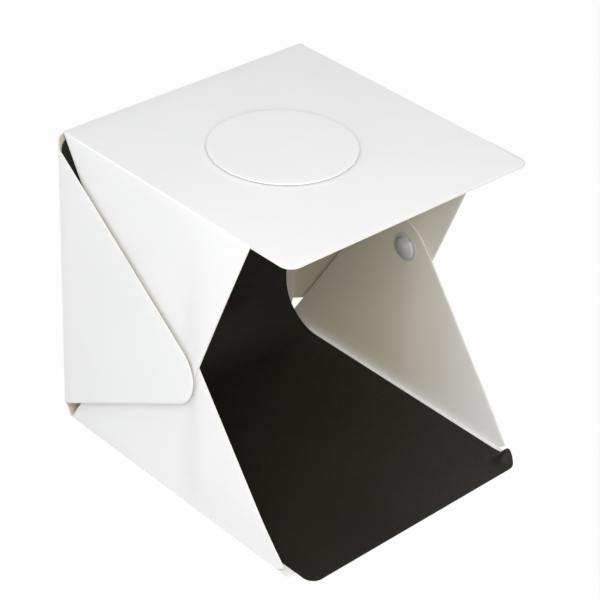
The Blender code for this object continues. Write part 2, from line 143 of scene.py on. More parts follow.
# Window cover and its coins, whose fibres are small arcs: closed loops, or open hooks
COVER_EASE = 0.00015
COVER_STEPS = 128
COIN_COUNT = 4
COIN_STEPS = 40
COIN_BASE_SHARE = 0.45
FIBRE_RADIUS = 0.00004
FIBRE_PITCH = 0.0007
FIBRE_SPAN = 0.00026
FIBRE_TURN = 0.7
FIBRE_STEPS = 5
FIBRE_SIDES = 4
LOOP_TURN = 1.0
HOOK_TURN = 0.72

# Light strip
CHIP_COUNT = 16
TAPE_EASE = 0.00015
TAPE_EASE_STEPS = 3
BOARD_EASE = 0.00012
CHIP_EASE = 0.00012
CHIP_RIM = 0.0003
CHIP_RECESS = 0.0002
CHIP_FACE_AREA = 0.000001
BLOCK_EASE_STEPS = 2
INLET_WALL = 0.0003
INLET_BACK_WALL = 0.0010
INLET_EASE = 0.0005
INLET_SLANT_SHARE = 0.30
TONGUE_SHARE = 0.24
TONGUE_THICKNESS = 0.0007
TONGUE_SETBACK = 0.0009

# Bow of the side flaps, which stand a little outward along their free front edges
BULGE_REAR = -0.0045
BULGE_RUN = 0.0200
LOWER_BULGE = {"left": 0.0024, "right": 0.0013}
UPPER_BULGE = {"left": 0.0022, "right": 0.0024}
LOWER_BULGE_RISE = 0.0400
UPPER_BULGE_DROP = 0.1150
BULGE_CLEAR = FOLD_OUTER * 2

# Range of a noise that a shader stretches over all that it blends
NOISE_LOW = 0.3
NOISE_HIGH = 0.7

# Stage and light
WHITE = (1.0, 1.0, 1.0)
FLOOR_DROP = 0.0003
FLOOR_HALF = 3.0
FLOOR_COLOUR = (0.64, 0.64, 0.64)
FLOOR_ROUGHNESS = 0.9
FLOOR_WHITE_SHARE = 0.96
WORLD_DIM = 0.08
WORLD_BRIGHT = 1.10
WORLD_SPREAD = -0.4
WORLD_BRIGHT_SIDE = (-0.68, -0.24, 0.69)
KEY_POWER = 13.0
KEY_SIZE = 0.7
KEY_PLACE = (-0.68, -0.84, 0.90)
KEY_AIM = (0, 0, 0.12)

SIDES = ((-1, "left"), (1, "right"))


# Materials

class Nodes:
    """A node tree with a short way to add a node and link it."""

    def __init__(self, tree):
        self.nodes = tree.nodes
        self.links = tree.links

    def add(self, kind, inputs=None, **settings):
        """New node. inputs holds, by a socket's name or number, a value or an output to link."""
        node = self.nodes.new("ShaderNode" + kind)
        for key, value in settings.items():
            setattr(node, key, value)
        for key, value in (inputs or {}).items():
            self.fill(node.inputs[key], value)
        return node

    def fill(self, socket, value):
        """Sets an input to a value, or links it to an output."""
        if isinstance(value, bpy.types.NodeSocket):
            self.links.new(value, socket)
        elif socket.type == "RGBA":
            socket.default_value = (*value, 1.0)
        else:
            socket.default_value = value

    def blended(self, output, first, second, share):
        """Ends the tree in a blend of two shaders, with this share of the second."""
        blend = self.add("MixShader", {"Fac": share, 1: first, 2: second})
        self.fill(self.nodes[output].inputs["Surface"], blend.outputs["Shader"])

    def seen_white(self, share):
        """Output that is share for rays of the camera, mirrors and clear parts, else 0."""
        path = self.add("LightPath")
        seen = path.outputs["Is Camera Ray"]
        for ray in ("Is Glossy Ray", "Is Transmission Ray"):
            either = {0: seen, 1: path.outputs[ray]}
            seen = self.add("Math", either, operation="MAXIMUM").outputs[0]
        return self.add("Math", {0: seen, 1: share}, operation="MULTIPLY").outputs[0]


class Shader(Nodes):
    """A new material."""

    def __init__(self, name):
        self.material = bpy.data.materials.new(name)
        self.material.use_nodes = True
        super().__init__(self.material.node_tree)
        self.principled = self.nodes["Principled BSDF"]

    def blend_with(self, other, share):
        """Blends this share of another shader into the principled one."""
        self.blended("Material Output", self.principled.outputs["BSDF"], other, share)

    def set(self, **values):
        """Sets the principled shader's inputs. A name's spaces are written as underscores."""
        for key, value in values.items():
            self.fill(self.principled.inputs[key.replace("_", " ")], value)

    def place(self):
        return self.add("TexCoord").outputs["Object"]

    def noise(self, scale, detail, roughness=0.5):
        inputs = {"Vector": self.place(), "Scale": scale, "Detail": detail, "Roughness": roughness}
        return self.add("TexNoise", inputs).outputs["Fac"]

    def ramp(self, value, low, high, start, end):
        """Value from low to high mapped to start to end, and held there beyond."""
        inputs = {"Value": value, "From Min": low, "From Max": high, "To Min": start, "To Max": end}
        return self.add("MapRange", inputs).outputs["Result"]

    def wander(self, start, end, scale, detail):
        """Number that wanders between start and end over the surface."""
        return self.ramp(self.noise(scale, detail), NOISE_LOW, NOISE_HIGH, start, end)

    def mottled(self, first, second, scale, detail):
        """Colour that wanders between two over the surface."""
        return self.mix(self.wander(0.0, 1.0, scale, detail), first, second)

    def attribute(self, name):
        """Number that the mesh keeps on each of its points."""
        return self.add("Attribute", attribute_name=name).outputs["Fac"]

    def mix(self, factor, first, second):
        node = self.add("Mix", data_type="RGBA")
        for socket, value in (("Factor", factor), ("A", first), ("B", second)):
            self.fill(next(s for s in node.inputs if s.name == socket and s.enabled), value)
        return next(s for s in node.outputs if s.enabled)

    def bump(self, height, strength, distance, normal=None):
        inputs = {"Height": height, "Strength": strength, "Distance": distance}
        if normal is not None:
            inputs["Normal"] = normal
        return self.add("Bump", inputs).outputs["Normal"]


def white_sheet():
    """Satin translucent sheet with painted shade on its inner side, warm and darker towards the back,
    and a little duller at its cut edges.
    """
    look = Shader("white_sheet")
    body = look.mottled((0.880, 0.890, 0.904), (0.902, 0.912, 0.924), scale=14.0, detail=3.0)
    edge = look.ramp(look.attribute("edge"), EDGE_TONE_START, EDGE_TONE_FULL, 0.0, 1.0)
    inner = look.attribute("inner")
    # Painted shade: the inner side turns to a darker warm tone deeper inside the tent.
    body = look.mix(look.ramp(inner, 0.0, FOLDED_SHADE, 0.0, 1.0), body, (0.67, 0.62, 0.495))
    # Painted deep shade on the back panel's inner side.
    deep_shade = look.ramp(inner, FOLDED_SHADE, BACK_SHADE, 0.0, 1.0)
    body = look.mix(deep_shade, body, (0.50, 0.475, 0.42))
    colour = look.mix(edge, body, (0.79, 0.775, 0.72))
    grain = look.noise(scale=2600.0, detail=3.0, roughness=0.6)
    grain = look.bump(grain, strength=0.10, distance=0.00005)
    wave = look.bump(look.noise(scale=38.0, detail=2.0), strength=0.12, distance=0.0006, normal=grain)
    rough = look.wander(0.58, 0.68, scale=900.0, detail=2.0)
    look.set(Base_Color=colour, Roughness=rough, Normal=wave, IOR=1.49, Specular_IOR_Level=0.22)
    glow = look.mix(edge, (0.80, 0.66, 0.42), (0.86, 0.80, 0.67))
    through = look.add("BsdfTranslucent", {"Normal": wave, "Color": glow})
    look.blend_with(through.outputs["BSDF"], SHEET_TRANSLUCENCY)
    return look.material


def black_sheet():
    """Matt black soft sheet with a fine grain and faint scuffs."""
    look = Shader("black_sheet")
    base = look.mottled((0.0085, 0.0072, 0.0046), (0.0125, 0.0108, 0.0076), scale=9.0, detail=4.0)
    dust = look.ramp(look.noise(scale=1500.0, detail=2.0), 0.72, 0.80, 0.0, 0.35)
    colour = look.mix(dust, base, (0.045, 0.042, 0.038))
    grain = look.noise(scale=1900.0, detail=4.0, roughness=0.65)
    grain = look.bump(grain, strength=0.28, distance=0.00012)
    wave = look.bump(look.noise(scale=22.0, detail=2.0), strength=0.10, distance=0.0010, normal=grain)
    rough = look.wander(0.50, 0.62, scale=300.0, detail=3.0)
    look.set(Base_Color=colour, Roughness=rough, Normal=wave, Specular_IOR_Level=0.26)
    return look.material


def cap_plastic():
    """Milky grey moulded plastic."""
    look = Shader("cap_plastic")
    colour = look.mottled((0.44, 0.435, 0.42), (0.52, 0.515, 0.50), scale=220.0, detail=3.0)
    grain = look.bump(look.noise(scale=2400.0, detail=2.0), strength=0.06, distance=0.00004)
    rough = look.wander(0.26, 0.36, scale=700.0, detail=2.0)
    look.set(Base_Color=colour, Roughness=rough, Normal=grain, IOR=1.5)
    look.set(Subsurface_Weight=0.3, Subsurface_Radius=(0.002, 0.002, 0.0022), Subsurface_Scale=1.0)
    return look.material


def nickel_steel():
    """Nickel plate with a fine grain and dull patches."""
    look = Shader("nickel_steel")
    colour = look.mottled((0.56, 0.55, 0.52), (0.68, 0.67, 0.64), scale=600.0, detail=4.0)
    grain = look.bump(look.noise(scale=3800.0, detail=2.0), strength=0.10, distance=0.00003)
    rough = look.wander(0.22, 0.38, scale=450.0, detail=3.0)
    look.set(Base_Color=colour, Roughness=rough, Normal=grain, Metallic=1.0)
    return look.material


def plain_plastic(name, dark, pale, roughness):
    """Moulded plastic of one colour with a fine texture."""
    look = Shader(name)
    colour = look.mottled(dark, pale, scale=160.0, detail=3.0)
    grain = look.bump(look.noise(scale=2600.0, detail=2.0), strength=0.08, distance=0.00004)
    rough = look.wander(roughness - 0.05, roughness + 0.05, scale=800.0, detail=2.0)
    look.set(Base_Color=colour, Roughness=rough, Normal=grain)
    return look.material


def coin_felt():
    """White hook and loop tape: a dense field of fine fibres, with painted shade in the gaps between
    them.
    """
    look = Shader("coin_felt")
    pattern = {"Vector": look.place(), "Scale": 2400.0, "Randomness": 0.8}
    cells = look.add("TexVoronoi", pattern).outputs["Distance"]
    # Painted shade: darker away from the cell centres, in the gaps between the fibres.
    gap_shade = look.ramp(cells, 0.0, 0.6, 0.0, 1.0)
    colour = look.mix(gap_shade, (0.86, 0.86, 0.84), (0.62, 0.62, 0.60))
    fibres = look.bump(cells, strength=0.6, distance=0.0002)
    look.set(Base_Color=colour, Roughness=0.92, Normal=fibres, Specular_IOR_Level=0.2)
    return look.material


looks = {
    "white_sheet": white_sheet(),
    "black_sheet": black_sheet(),
    "cap_plastic": cap_plastic(),
    "nickel_steel": nickel_steel(),
    "stud_plastic": plain_plastic("stud_plastic", (0.76, 0.76, 0.74), (0.84, 0.84, 0.82), 0.35),
    "coin_felt": coin_felt(),
    "foam_tape": plain_plastic("foam_tape", (0.74, 0.74, 0.72), (0.82, 0.82, 0.80), 0.80),
    "white_board": plain_plastic("white_board", (0.78, 0.80, 0.78), (0.84, 0.86, 0.84), 0.40),
    "dark_plastic": plain_plastic("dark_plastic", (0.012, 0.012, 0.013), (0.020, 0.020, 0.021), 0.40),
    "light_chip": plain_plastic("light_chip", (0.80, 0.66, 0.16), (0.88, 0.76, 0.28), 0.32),
}


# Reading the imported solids

def solid(node):
    """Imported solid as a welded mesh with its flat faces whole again."""
    body = bmesh.new()
    body.from_mesh(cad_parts[node].data)
    bmesh.ops.remove_doubles(body, verts=body.verts, dist=WELD)
    bmesh.ops.dissolve_limit(body, angle_limit=FLAT_ANGLE, verts=body.verts, edges=body.edges)
    return body


def middle(node):
    """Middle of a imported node's box."""
    low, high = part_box(node)
    return (low + high) / 2


def face_loops(node, normal):
    """Loops of points round the face of a packed plate that looks along normal, longest first."""
    body = solid(node)
    wanted = {face for face in body.faces if face.normal.dot(normal) > FACING_LIMIT}
    rim = [edge for edge in body.edges if sum(face in wanted for face in edge.link_faces) == 1]
    after = {}
    for edge in rim:
        loop = next(loop for loop in edge.link_loops if loop.face in wanted)
        after[loop.vert.index] = loop.link_loop_next.vert
    loops = []
    while after:
        start = next(iter(after))
        index = start
        points = []
        while index in after:
            vert = after.pop(index)
            points.append(vert.co.copy())
            index = vert.index
        loops.append(points)
    body.free()
    loops.sort(key=loop_length, reverse=True)
    return loops


def loop_length(points):
    return sum((one - two).length for one, two in zip(points, points[1:] + points[:1]))


# Sheet pieces

def rim_rings(gauge):
    """Rings of a sheet's rounded rim, from its outer face round the cut edge to the inner face.

    Each is how far the ring lies in from the outline and how deep it lies under the outer face.
    """
    bulge = EDGE_ROUND * (1 - sqrt(0.5))
    outer = [(EDGE_BAND, 0.0), (EDGE_ROUND, 0.0), (bulge, bulge), (0.0, EDGE_ROUND)]
    return outer + [(inset, gauge - depth) for inset, depth in reversed(outer)]


def spread(low, high, step):
    """Places between low and high, about a step apart, ends left out."""
    count = max(2, round((high - low) / step))
    return [low + (high - low) * index / count for index in range(1, count)]


def as_mesh(name, body):
    """Mesh data of a working mesh, which is freed."""
    mesh = bpy.data.meshes.new(name)
    body.to_mesh(mesh)
    body.free()
    return mesh


def new_object(name, data):
    """Object in the scene."""
    thing = bpy.data.objects.new(name, data)
    bpy.context.scene.collection.objects.link(thing)
    return thing


def finished(name, body, materials, node):
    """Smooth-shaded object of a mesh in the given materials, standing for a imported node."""
    bmesh.ops.recalc_face_normals(body, faces=body.faces)
    mesh = as_mesh(name, body)
    for material in materials:
        mesh.materials.append(material)
    thing = new_object(name, mesh)
    mesh.shade_smooth()
    mesh.set_sharp_from_angle(angle=SHARP_ANGLE)
    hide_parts(node)
    return thing


def add_rigid(slot, name, body, node, carrier):
    """Rigid piece in the look of its slot, which stands for a node and rides a body."""
    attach(finished(name, body, [looks[slot]], node), carrier)


def set_values(thing, name, values):
    """Number kept on each point of a piece for its shader."""
    layer = thing.data.attributes.new(name, "FLOAT", "POINT")
    for index, value in enumerate(values):
        layer.data[index].value = value


def smooth_step(value):
    """0 below 0, 1 above 1, and an even curve from one to the other between."""
    value = max(0.0, min(1.0, value))
    return value * value * (3 - 2 * value)


def inner_tone(point):
    """How much painted shade the inner side gets here: little at the front and at the foot."""
    deep_shade = SHADE_AT_FRONT + (1 - SHADE_AT_FRONT) * smooth_step((point.y - SHADE_START) / SHADE_RUN)
    return deep_shade * (SHADE_AT_FOOT + (1 - SHADE_AT_FOOT) * smooth_step(point.z / SHADE_FOOT_HEIGHT))


def signed_area(loop):
    """Area inside a flat loop, above 0 where it runs counter-clockwise."""
    return sum(ax * by - bx * ay for (ax, ay), (bx, by) in zip(loop, loop[1:] + loop[:1])) / 2


class Outline:
    """Closed outline in flat coordinates with the material on its left.

    joined holds, for each stretch from a point to the next, whether it continues in the
    neighbouring panel; such a stretch isn't a cut edge and keeps its full gauge.
    """

    def __init__(self, points, joined=None):
        self.points = points
        self.joined = joined or [False] * len(points)

    def stretches(self):
        return zip(self.points, self.points[1:] + self.points[:1], self.joined)

    def inset(self, depth):
        """Points of the outline drawn in by depth along its cut edges, less at short stretches."""
        shifts = [self.shift(index, depth) for index in range(len(self.points))]
        shares = [1.0] * len(self.points)
        for index, ((ax, ay), (bx, by), _) in enumerate(self.stretches()):
            after = (index + 1) % len(self.points)
            length = hypot(bx - ax, by - ay)
            run = ((bx - ax) / length, (by - ay) / length)
            loss = sum((shifts[index][k] - shifts[after][k]) * run[k] for k in (0, 1))
            if loss > length * INSET_LIMIT_SHARE:
                share = length * INSET_LIMIT_SHARE / loss
                shares[index] = min(shares[index], share)
                shares[after] = min(shares[after], share)
        return [
            (x + dx * share, y + dy * share)
            for (x, y), (dx, dy), share in zip(self.points, shifts, shares)
        ]

    def shift(self, index, depth):
        """Way of one point to where its two stretches meet when drawn in by depth."""
        lines = []
        for first in (index - 1, index):
            ax, ay = self.points[first]
            bx, by = self.points[(first + 1) % len(self.points)]
            length = hypot(bx - ax, by - ay)
            reach = 0.0 if self.joined[first] else depth
            lines.append(((ay - by) / length, (bx - ax) / length, reach))
        (px, py, pd), (qx, qy, qd) = lines
        cross = px * qy - py * qx
        if abs(cross) < PARALLEL_LIMIT:
            return px * pd, py * pd
        return (pd * qy - qd * py) / cross, (qd * px - pd * qx) / cross


class FlatPiece:
    """Piece cut from sheet: a flat blank with rounded cut edges, bent into its place.

    Flat coordinates: x across, y along and z from the outer face inward. A kind of piece sets
    outlines, the longest first, says with place() where a flat point goes, and lists in
    cut_rows() and cut_columns() where the blank is cut so that it can bend. A class attribute sets
    the level of shade painted on its inner side. Each point keeps two numbers for the shader: edge,
    1 at a cut edge and 0 away from it, and inner, the painted shade, 0 on the outer side and up to
    that level on the inner one.
    """

    gauge = SHEET
    lining = 0.0
    outlines = ()

    def cut_rows(self):
        return spread(*self.reach(1), GRID)

    def cut_columns(self):
        return spread(*self.reach(0), GRID)

    def reach(self, index):
        """Lowest and highest x (index 0) or y (index 1) of the blank."""
        values = [point[index] for outline in self.outlines for point in outline.points]
        return min(values), max(values)

    def flat_mesh(self):
        """Closed flat plate: rings round each outline, a cap at each joined stretch, two faces."""
        body = bmesh.new()
        front = []
        back = []
        for outline in self.outlines:
            rings = [
                [body.verts.new((x, y, depth)) for x, y in outline.inset(inset)]
                for inset, depth in rim_rings(self.gauge)
            ]
            count = len(outline.points)
            for index in range(count):
                after = (index + 1) % count
                if outline.joined[index]:
                    cap = [ring[index] for ring in rings]
                    body.faces.new(cap + [ring[after] for ring in reversed(rings)])
                    continue
                for one, two in zip(rings, rings[1:]):
                    body.faces.new((one[index], one[after], two[after], two[index]))
            for ring, edges in ((rings[0], front), (rings[-1], back)):
                for one, two in zip(ring, ring[1:] + ring[:1]):
                    edges.append(body.edges.get((one, two)) or body.edges.new((one, two)))
        for edges in (front, back):
            bmesh.ops.triangle_fill(body, edges=edges, use_beauty=True)
        return body

    def cut_for_bending(self, body):
        """Cuts the flat plate through along its columns and rows."""
        lines = [((x, 0, 0), (1, 0, 0)) for x in self.cut_columns()]
        lines += [((0, y, 0), (0, 1, 0)) for y in self.cut_rows()]
        for point, normal in lines:
            geom = list(body.verts) + list(body.edges) + list(body.faces)
            bmesh.ops.bisect_plane(body, geom=geom, dist=WELD, plane_co=point, plane_no=normal)

    def rim_distance(self, point):
        """Distance of a flat point from the nearest cut edge, up to the width of the edge band."""
        best = EDGE_BAND
        for outline in self.outlines:
            for (ax, ay), (bx, by), joined in outline.stretches():
                if joined:
                    continue
                dx, dy = bx - ax, by - ay
                share = ((point.x - ax) * dx + (point.y - ay) * dy) / (dx * dx + dy * dy)
                share = max(0.0, min(1.0, share))
                best = min(best, hypot(point.x - ax - share * dx, point.y - ay - share * dy))
        return best

    def build(self, name, material, slot, node):
        """Object of the bent piece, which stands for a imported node."""
        body = self.flat_mesh()
        self.cut_for_bending(body)
        rims = []
        shades = []
        for vert in body.verts:
            flat = vert.co.copy()
            rims.append(1.0 - self.rim_distance(flat) / EDGE_BAND)
            vert.co = self.place(flat)
            # Painted shade for the inner side only, none on the outer face.
            shades.append(self.lining * flat.z / self.gauge * inner_tone(vert.co))
        thing = finished(name, body, [material], node)
        set_values(thing, "edge", rims)
        set_values(thing, "inner", shades)
        return thing


class Blank(FlatPiece):
    """Panel or flap, folded from the blank that it shares with its neighbours.

    x runs along the fold and y away from it. Where the piece hangs on a fold, y starts with
    the strip that bends round the crease.
    """

    strip = (FOLD_OUTER - SHEET / 2) * pi / 2

    def __init__(self, node, along, away, inward, corner=None, side_folds=None):
        """Blank of a packed plate.

        along, away and inward are directions in the frame, corner is a point on the outer
        corner line of its crease, and side_folds are the creases of its side flaps as half
        their distance and their far end.
        """
        self.node = node
        self.bow = None
        self.along = Vector(along)
        self.away = Vector(away)
        self.inward = Vector(inward)
        self.folded = corner is not None
        # Folded pieces get the warm painted shade on their inner side, the bottom panel none.
        self.lining = FOLDED_SHADE if self.folded else 0.0
        loops = face_loops(node, -self.inward)
        self.origin = Vector(corner) if self.folded else self.inward * loops[0][0].dot(self.inward)
        flat = [[self.flatten(point) for point in loop] for loop in loops]
        if signed_area(flat[0]) < 0:
            flat = [loop[::-1] for loop in flat]
        if self.folded:
            flat[0] = self.with_strip(flat[0])
        self.outlines = [Outline(loop) for loop in flat]
        if side_folds is not None:
            self.outlines[0] = self.tucked(flat[0], *side_folds)
        if self.folded:
            self.mark_fold(self.outlines[0])

    def flatten(self, point):
        """Flat place of a point of the solid's outer face."""
        offset = point - self.origin
        shift = self.strip - FOLD_OUTER if self.folded else 0.0
        return offset.dot(self.along), offset.dot(self.away) + shift

    def with_strip(self, loop):
        """Outline with the crease's strip added at its near end."""
        near = min(y for _, y in loop)
        grown = []
        for index, (x, y) in enumerate(loop):
            if y - near > FLAT_STEP:
                grown.append((x, y))
            elif loop[index - 1][1] - near > FLAT_STEP:
                grown += [(x, y), (x, 0.0)]
            else:
                grown += [(x, 0.0), (x, y)]
        return grown

    def tucked(self, loop, half, far):
        """Outline drawn in by a fold's depth along its side creases, up to their far end."""
        far += self.strip - FOLD_OUTER if self.folded else 0.0

        def at_side(point):
            return abs(abs(point[0]) - half) < FLAT_STEP

        def drawn_in(x):
            return (abs(x) - FOLD_OUTER) * (1 if x > 0 else -1)

        points = []
        joined = []
        for one, two in zip(loop, loop[1:] + loop[:1]):
            inside = at_side(one) and one[1] < far + FLAT_STEP
            points.append((drawn_in(one[0]), one[1]) if inside else one)
            along_side = at_side(one) and at_side(two)
            next_inside = at_side(two) and two[1] < far + FLAT_STEP
            if along_side and inside and not next_inside:
                joined += [True, False, False]
                points += [(drawn_in(one[0]), far), (one[0], far)]
            elif along_side and next_inside and not inside:
                joined += [False, False, True]
                points += [(one[0], far), (drawn_in(one[0]), far)]
            else:
                joined.append(along_side and inside and next_inside)
        return Outline(points, joined)

    def mark_fold(self, outline):
        """Joins the near end, where the sheet goes on into the neighbouring panel."""
        for index, (one, two, _) in enumerate(list(outline.stretches())):
            if one[1] < FLAT_STEP and two[1] < FLAT_STEP:
                outline.joined[index] = True

    def place(self, flat):
        """Place in the frame of a flat point."""
        x, y, z = flat
        raised = self.bow(x, y) if self.bow is not None else 0.0
        if self.folded and y < self.strip:
            turn = (1 - y / self.strip) * pi / 2
            radius = FOLD_OUTER - z
            y = FOLD_OUTER - radius * sin(turn)
            z = FOLD_OUTER - radius * cos(turn)
        elif self.folded:
            y += FOLD_OUTER - self.strip
        return self.origin + self.along * x + self.away * y + self.inward * (z - raised)

    def cut_rows(self):
        if not self.folded:
            return super().cut_rows()
        rows = [self.strip * step / FOLD_STEPS for step in range(1, FOLD_STEPS + 1)]
        return rows + spread(self.strip, self.reach(1)[1], GRID)

    def make(self, name):
        return self.build(name, looks["white_sheet"], "white_sheet", self.node)

    def hang(self, name, carrier, body, bow=None):
        """The piece, bent at the crease. carrier and body are not used.

        bow(x, y) lifts its flat part outward from its plane.
        """
        self.bow = bow
        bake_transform(self.make(name))


def make_panels():
    """Bottom, back and top panel, the last two bent up from the panel before."""
    base_half, back_y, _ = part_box("bottom_panel")[1]
    top_half, _, top_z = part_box("top_panel")[1]
    back_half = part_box("back_panel")[1].x
    folds = (base_half, LOWER_FOLD_END - back_y)
    base = Blank("bottom_panel", (1, 0, 0), (0, -1, 0), (0, 0, 1), side_folds=folds)
    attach(base.make("bottom_sheet"), "base")
    folds = (back_half, BACK_FOLD_END)
    back = Blank("back_panel", (1, 0, 0), (0, 0, 1), (0, -1, 0), (0, back_y, 0), folds)
    # The back panel's inner side gets the deepest painted shade.
    back.lining = BACK_SHADE
    back.hang("back_sheet", "base", "back")
    folds = (top_half, UPPER_FOLD_END)
    top = Blank("top_panel", (1, 0, 0), (0, -1, 0), (0, 0, -1), (0, back_y, top_z), folds)
    top.hang("top_sheet", "back", "top")


def bulge(amount, reach):
    """Function of y and the distance from the crease that lifts a flap outward at its front."""

    def lift(y, run):
        rise = sin(pi / 2 * max(0.0, min(1.0, (run - BULGE_CLEAR) / reach)))
        return amount * smooth_step((BULGE_REAR - y) / BULGE_RUN) * rise

    return lift


def make_flaps():
    """Lower, upper and back flap of each side, bent from the panels that carry them."""
    base_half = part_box("bottom_panel")[1].x
    top_half, _, top_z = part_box("top_panel")[1]
    back_half, back_y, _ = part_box("back_panel")[1]
    for side, name in SIDES:
        inward = (-side, 0, 0)
        corner = (side * base_half, 0, 0)
        lower = Blank(name + "_lower_flap", (0, 1, 0), (0, 0, 1), inward, corner)
        bow = bulge(LOWER_BULGE[name], LOWER_BULGE_RISE)
        lower.hang(name + "_lower_sheet", "base", name + "_lower", bow)
        corner = (side * top_half, 0, top_z)
        upper = Blank(name + "_upper_flap", (0, 1, 0), (0, 0, -1), inward, corner)
        bow = bulge(UPPER_BULGE[name], UPPER_BULGE_DROP)
        upper.hang(name + "_upper_sheet", "top", name + "_upper", bow)
        corner = (side * back_half, back_y, 0)
        back = Blank(name + "_back_flap", (0, 0, 1), (0, -1, 0), inward, corner)
        back.hang(name + "_side_sheet", "back", name + "_back")


class Backdrop(FlatPiece):
    """Soft black sheet: floor, curved sweep and wall. y is the run from its front edge."""

    gauge = BACKDROP_SHEET

    def __init__(self):
        self.low, self.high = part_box("backdrop_sheet")
        self.floor_run = self.high.y - SWEEP_RADIUS - self.low.y
        self.sweep_run = SWEEP_RADIUS * pi / 2
        self.wall_start = self.floor_run + self.sweep_run
        self.rise_run = self.high.z + WALL_RAISE - self.low.z - SWEEP_RADIUS
        self.length = self.wall_start + self.rise_run
        half = self.high.x
        rim = rounded_rectangle((-half, 0.0), (half, self.length), BACKDROP_CORNER)
        self.outlines = [Outline(rim)]
        for _, name in SIDES:
            centre = middle(name + "_stud_cap")
            run = self.wall_start + centre.z - self.low.z - SWEEP_RADIUS
            hole = circle((centre.x + self.slant(run), run), STUD_HOLE_RADIUS, HOLE_STEPS)[::-1]
            self.outlines.append(Outline(hole))

    def slant(self, run):
        """How far to the left the wall hangs, growing evenly up to its top edge."""
        return WALL_SLANT * max(0.0, run - self.wall_start) / self.rise_run

    def curl(self, x, y):
        """How far the right edge rises where it curls up near the front corner."""
        along = 1 - abs(y - CURL_Y) / CURL_HALF
        return CURL_HEIGHT * smooth_step(along) * smooth_step((x - CURL_START) / CURL_WIDTH)

    def place(self, flat):
        """Place in the frame of a flat point."""
        x, y, z = flat
        reach = SWEEP_RADIUS - z
        hang = smooth_step((y - self.floor_run) / (self.sweep_run * 2))
        side = SKEW_SIDE * (1 - hang)
        if y <= self.floor_run:
            front = smooth_step(1 - y / self.floor_run)
            ahead = front * (SKEW_FRONT - SKEW_TURN * x)
            lift = self.curl(x + side, self.low.y + y)
            return Vector((x + side, self.low.y + y - ahead, self.low.z + z + lift))
        x += side - self.slant(y)
        if y <= self.wall_start:
            turn = (y - self.floor_run) / SWEEP_RADIUS
            sweep_y = self.high.y - SWEEP_RADIUS + reach * sin(turn)
            return Vector((x, sweep_y, self.low.z + SWEEP_RADIUS - reach * cos(turn)))
        height = self.low.z + SWEEP_RADIUS + y - self.wall_start
        return Vector((x, self.high.y - z, height))

    def cut_columns(self):
        return super().cut_columns() + spread(CURL_START, self.high.x, CURL_STEP)

    def cut_rows(self):
        curl = CURL_Y - self.low.y
        rows = spread(0.0, self.floor_run, GRID)
        rows += spread(max(0.0, curl - CURL_HALF), curl + CURL_HALF, CURL_STEP)
        step = self.sweep_run / SWEEP_STEPS
        rows += [self.floor_run + step * index for index in range(SWEEP_STEPS + 1)]
        return rows + spread(self.wall_start, self.length, GRID)


def circle(centre, radius, steps):
    """Points round a circle, counter-clockwise."""
    turns = [2 * pi * step / steps for step in range(steps)]
    return [(centre[0] + radius * cos(turn), centre[1] + radius * sin(turn)) for turn in turns]


def rounded_rectangle(low, high, radius):
    """Outline of a rectangle with round corners, counter-clockwise."""
    points = []
    for quarter, (sx, sy) in enumerate(((1, 1), (-1, 1), (-1, -1), (1, -1))):
        x = (high[0] if sx > 0 else low[0]) - sx * radius
        y = (high[1] if sy > 0 else low[1]) - sy * radius
        for step in range(CORNER_STEPS + 1):
            turn = (quarter + step / CORNER_STEPS) * pi / 2
            points.append((x + radius * cos(turn), y + radius * sin(turn)))
    return points


def make_backdrop():
    piece = Backdrop()
    thing = piece.build("backdrop", looks["black_sheet"], "black_sheet", "backdrop_sheet")
    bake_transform(thing)


# Turned pieces

def eased(profile, radius):
    """Profile with its corners rounded, each by no more than its own edges allow."""
    points = [profile[0]]
    for before, corner, after in zip(profile, profile[1:], profile[2:]):
        arms = []
        for other in (before, after):
            run = hypot(other[0] - corner[0], other[1] - corner[1])
            share = min(radius / run, EASE_LIMIT_SHARE)
            arms.append([c + (o - c) * share for c, o in zip(corner, other)])
        for step in range(EASE_STEPS + 1):
            t = step / EASE_STEPS
            near, turn, far = (1 - t) ** 2, 2 * t * (1 - t), t * t
            bend = zip(arms[0], corner, arms[1])
            points.append(tuple(near * a + turn * c + far * b for a, c, b in bend))
    return points + [profile[-1]]


def skin(body, rings):
    """Faces from each closed ring of points to the next. A ring may be a single point."""
    for one, two in zip(rings, rings[1:]):
        for index in range(max(len(one), len(two))):
            after = index + 1
            corners = (one[index % len(one)], one[after % len(one)])
            corners += (two[after % len(two)], two[index % len(two)])
            body.faces.new(list(dict.fromkeys(corners)))


def turned(profile, centre, axis, steps=TURN_STEPS):
    """Solid of revolution from (radius, height) points; its ends lie on the axis."""
    body = bmesh.new()
    turn = Vector((0, 0, 1)).rotation_difference(Vector(axis))
    rings = []
    for radius, height in profile:
        if radius < WELD:
            places = [(0, 0, height)]
        else:
            places = [(x, y, height) for x, y in circle((0, 0), radius, steps)]
        rings.append([body.verts.new(Vector(centre) + turn @ Vector(place)) for place in places])
    skin(body, rings)
    return body


def holder_sizes(node, held):
    """Radius and depth of a packed round holder, and of its room for the disc that it holds."""
    sizes = []
    for part, fit in ((node, 0.0), (held, MAGNET_FIT)):
        low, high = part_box(part)
        sizes += [(high.z - low.z) / 2 + fit, high.x - low.x + fit]
    return sizes


def add_holder(side, node, name, profile, ease, carrier):
    """Turned piece of plastic that stands on the inner side of a flap."""
    low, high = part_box(node)
    base = middle(node)
    base.x = high.x if side > 0 else low.x
    body = turned(eased(profile, ease), base, (-side, 0, 0))
    add_rigid("cap_plastic", name, body, node, carrier)


